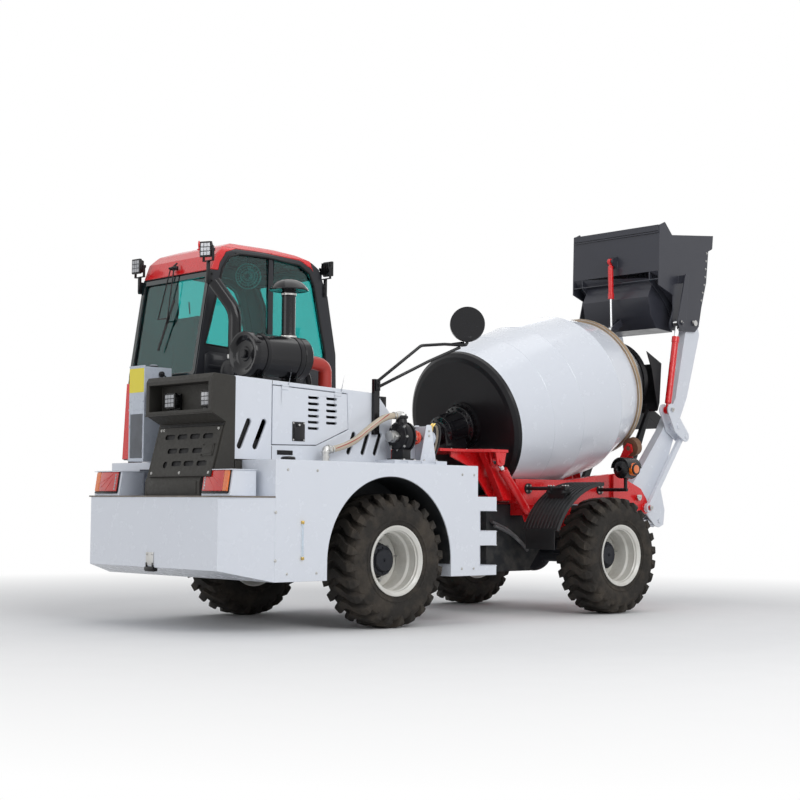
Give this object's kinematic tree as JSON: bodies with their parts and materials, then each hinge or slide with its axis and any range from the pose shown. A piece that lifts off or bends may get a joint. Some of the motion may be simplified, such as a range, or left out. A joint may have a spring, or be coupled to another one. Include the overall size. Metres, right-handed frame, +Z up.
{
  "type": "self-loading concrete mixer",
  "caption": "Articulated concrete mixer with cab and engine hood behind, tilted mixing drum and raised loading bucket in front.",
  "frame": {"origin": "on the ground, at the middle of the machine's length and width", "axes": "+X forward to the bucket, +Y to the machine's left, +Z up"},
  "size_m": [6.678, 2.216, 3.8998],
  "materials": {
    "white_paint": "cool white gloss paint",
    "red_paint": "signal red gloss paint",
    "black_paint": "satin black paint",
    "charcoal_paint": "fine textured charcoal powder coat",
    "chassis_paint": "dark grey chassis paint",
    "bucket_paint": "dark slate grey paint",
    "cab_frame_paint": "anthracite paint",
    "cooler_paint": "light grey paint",
    "rim_paint": "off-white paint",
    "axle_paint": "painted casting",
    "engine_iron": "painted casting",
    "roller_steel": "brown machined steel",
    "track_steel": "tan worn steel",
    "rod_chrome": "polished chrome",
    "pin_steel": "zinc plated",
    "tyre_rubber": "dusty black",
    "hose_rubber": "ribbed hose",
    "fender_plastic": "grained black plastic",
    "lamp_plastic": "moulded black plastic",
    "seat_fabric": "woven charcoal fabric",
    "console_plastic": "dark grey plastic",
    "cab_glazing": "teal green tinted glass"
  },
  "bodies": {
    "rear_module": {"rear_chassis": "chassis_paint", "rear_body": "white_paint", "rear_box": "white_paint", "rear_axle": "axle_paint", "tail_lamps": "white_paint", "hood_shell": "white_paint", "rear_shroud": "charcoal_paint", "engine_block": "engine_iron", "cooler_box": "cooler_paint", "cab_shell": "cab_frame_paint", "cab_roof": "red_paint", "cab_glass": "cab_glazing", "seat": "seat_fabric", "cab_console": "console_plastic", "air_filter": "black_paint", "exhaust_pipe": "black_paint", "hoses": "hose_rubber", "water_pump": "black_paint", "mirror": "black_paint"},
    "hood_door_leaf": {"hood_door": "white_paint"},
    "cab_door_leaf": {"cab_door": "cab_frame_paint", "cab_door_glass": "cab_glazing"},
    "rear_right_wheel": {"rear_right_tyre": "tyre_rubber", "rear_right_rim": "rim_paint"},
    "rear_left_wheel": {"rear_left_tyre": "tyre_rubber", "rear_left_rim": "rim_paint"},
    "steer_barrel_body": {"steer_barrel": "red_paint"},
    "steer_rod_body": {"steer_rod": "rod_chrome"},
    "front_module": {"front_chassis": "chassis_paint", "front_frame": "red_paint", "front_axle": "axle_paint", "fenders": "fender_plastic", "headlamps": "lamp_plastic"},
    "front_right_wheel": {"front_right_tyre": "tyre_rubber", "front_right_rim": "rim_paint"},
    "front_left_wheel": {"front_left_tyre": "tyre_rubber", "front_left_rim": "rim_paint"},
    "cradle": {"drum_cradle": "red_paint", "drum_gearbox": "black_paint", "support_rollers": "roller_steel", "charge_hopper": "black_paint"},
    "drum": {"drum_shell": "white_paint", "drum_ends": "black_paint", "drum_track": "track_steel"},
    "cradle_barrel_body": {"cradle_barrels": "red_paint"},
    "cradle_rod_body": {"cradle_rods": "rod_chrome"},
    "arms": {"loader_arms": "white_paint"},
    "crank": {"cranks": "white_paint"},
    "tie_rod": {"tie_rods": "white_paint"},
    "lift_barrel_body": {"lift_barrels": "red_paint"},
    "lift_rod_body": {"lift_rods": "rod_chrome"},
    "bucket_level_shaft": {"bucket_shafts": "pin_steel"},
    "bucket_body": {"bucket": "bucket_paint"},
    "bucket_barrel_body": {"bucket_barrels": "red_paint"},
    "bucket_rod_body": {"bucket_rods": "rod_chrome"},
    "gate": {"bucket_gate": "bucket_paint"},
    "gate_barrel_body": {"gate_barrel": "red_paint"},
    "gate_rod_body": {"gate_rod": "rod_chrome"}
  },
  "joints": [
    {"name": "steer", "type": "hinge", "parent": "rear_module", "child": "front_module", "pos_m": [-0.281, 0, 0.72], "axis": [0, 0, 1], "range_deg": [-32, 32]},
    {"name": "steer_barrel_swing", "type": "hinge", "parent": "rear_module", "child": "steer_barrel_body", "pos_m": [-0.756, -0.36, 0.72], "axis": [0, 0, 1], "range_deg": [-11.06, 11.06]},
    {"name": "steer_rod_slide", "type": "slide", "parent": "steer_barrel_body", "child": "steer_rod_body", "axis": [0.9945, 0.1051, 0], "range_m": [-0.1723, 0.1723]},
    {"name": "cab_door_hinge", "type": "hinge", "parent": "rear_module", "child": "cab_door_leaf", "pos_m": [-1.452, 1.1042, 2.2], "axis": [0, 0, -1], "range_deg": [0, 80]},
    {"name": "hood_door_hinge", "type": "hinge", "parent": "rear_module", "child": "hood_door_leaf", "pos_m": [-2.696, -0.7075, 1.914], "axis": [-0.9994, 0, 0.0346], "range_deg": [0, 80]},
    {"name": "cradle_lift", "type": "hinge", "parent": "front_module", "child": "cradle", "pos_m": [1.739, 0, 1.08], "axis": [0, 1, 0], "range_deg": [0, 8]},
    {"name": "cradle_barrel_swing", "type": "hinge", "parent": "front_module", "child": "cradle_barrel_body", "pos_m": [0.419, 0, 0.89], "axis": [0, 1, 0], "range_deg": [0, 15.06]},
    {"name": "cradle_rod_slide", "type": "slide", "parent": "cradle_barrel_body", "child": "cradle_rod_body", "axis": [-0.6606, 0, 0.7507], "range_m": [0, 0.1668]},
    {"name": "drum_spin", "type": "hinge", "parent": "cradle", "child": "drum", "pos_m": [0.191, 0, 1.751], "axis": [0.9685, 0, 0.249], "continuous": true},
    {"name": "arm_lift", "type": "hinge", "parent": "front_module", "child": "arms", "pos_m": [2.039, 0, 1.08], "axis": [0, 1, 0], "range_deg": [0, 88]},
    {"name": "lift_barrel_swing", "type": "hinge", "parent": "front_module", "child": "lift_barrel_body", "pos_m": [1.009, 0, 0.8], "axis": [0, 1, 0], "range_deg": [0, 14.58]},
    {"name": "lift_rod_slide", "type": "slide", "parent": "lift_barrel_body", "child": "lift_rod_body", "axis": [0.9994, 0, 0.0352], "range_m": [-0.5734, 0]},
    {"name": "crank_level", "type": "hinge", "parent": "arms", "child": "crank", "pos_m": [2.589, 0, 1.81], "axis": [0, 1, 0], "range_deg": [-88.5, 0]},
    {"name": "tie_rod_swing", "type": "hinge", "parent": "front_module", "child": "tie_rod", "pos_m": [2.164, 0, 0.98], "axis": [0, 1, 0], "range_deg": [0, 88.5]},
    {"name": "bucket_level", "type": "hinge", "parent": "arms", "child": "bucket_level_shaft", "pos_m": [2.989, 0, 2.9], "axis": [0, 1, 0], "range_deg": [-88.5, 0]},
    {"name": "bucket_tilt", "type": "hinge", "parent": "bucket_level_shaft", "child": "bucket_body", "pos_m": [2.989, 0, 2.9], "axis": [0, 1, 0], "range_deg": [0, 75]},
    {"name": "bucket_barrel_swing", "type": "hinge", "parent": "crank", "child": "bucket_barrel_body", "pos_m": [2.479, 0, 1.97], "axis": [0, 1, 0], "range_deg": [0, 100.82]},
    {"name": "bucket_rod_slide", "type": "slide", "parent": "bucket_barrel_body", "child": "bucket_rod_body", "axis": [0.1856, 0, 0.9826], "range_m": [0, 0.2376]},
    {"name": "gate_open", "type": "hinge", "parent": "bucket_body", "child": "gate", "pos_m": [2.789, 0, 3.05], "axis": [0, 1, 0], "range_deg": [0, 30]},
    {"name": "gate_barrel_swing", "type": "hinge", "parent": "bucket_body", "child": "gate_barrel_body", "pos_m": [2.324, 0, 3.53], "axis": [0, 1, 0], "range_deg": [0, 7.25]},
    {"name": "gate_rod_slide", "type": "slide", "parent": "gate_barrel_body", "child": "gate_rod_body", "axis": [0.0282, 0, -0.9996], "range_m": [-0.2523, 0]},
    {"name": "rear_right_wheel_spin", "type": "hinge", "parent": "rear_module", "child": "rear_right_wheel", "pos_m": [-1.711, -0.915, 0.5375], "axis": [0, 1, 0], "continuous": true},
    {"name": "rear_left_wheel_spin", "type": "hinge", "parent": "rear_module", "child": "rear_left_wheel", "pos_m": [-1.711, 0.915, 0.5375], "axis": [0, 1, 0], "continuous": true},
    {"name": "front_right_wheel_spin", "type": "hinge", "parent": "front_module", "child": "front_right_wheel", "pos_m": [1.139, -0.915, 0.5375], "axis": [0, 1, 0], "continuous": true},
    {"name": "front_left_wheel_spin", "type": "hinge", "parent": "front_module", "child": "front_left_wheel", "pos_m": [1.139, 0.915, 0.5375], "axis": [0, 1, 0], "continuous": true}
  ],
  "couplings": [
    {"joint": "steer_barrel_swing", "follows": "steer", "ratio": 0.33},
    {"joint": "steer_rod_slide", "follows": "steer", "m_per_rad": 0.305},
    {"joint": "cradle_barrel_swing", "follows": "cradle_lift", "ratio": 1.82},
    {"joint": "cradle_rod_slide", "follows": "cradle_lift", "m_per_rad": 1.18},
    {"joint": "lift_barrel_swing", "follows": "arm_lift", "ratio": 0.16},
    {"joint": "lift_rod_slide", "follows": "arm_lift", "m_per_rad": -0.372},
    {"joint": "crank_level", "follows": "arm_lift", "ratio": -1},
    {"joint": "tie_rod_swing", "follows": "arm_lift", "ratio": 1},
    {"joint": "bucket_level", "follows": "arm_lift", "ratio": -1},
    {"joint": "bucket_barrel_swing", "follows": "arm_lift", "ratio": 1.14},
    {"joint": "bucket_rod_slide", "follows": "bucket_tilt", "m_per_rad": 0.18},
    {"joint": "gate_barrel_swing", "follows": "gate_open", "ratio": 0.225},
    {"joint": "gate_rod_slide", "follows": "gate_open", "m_per_rad": -0.478}
  ]
}
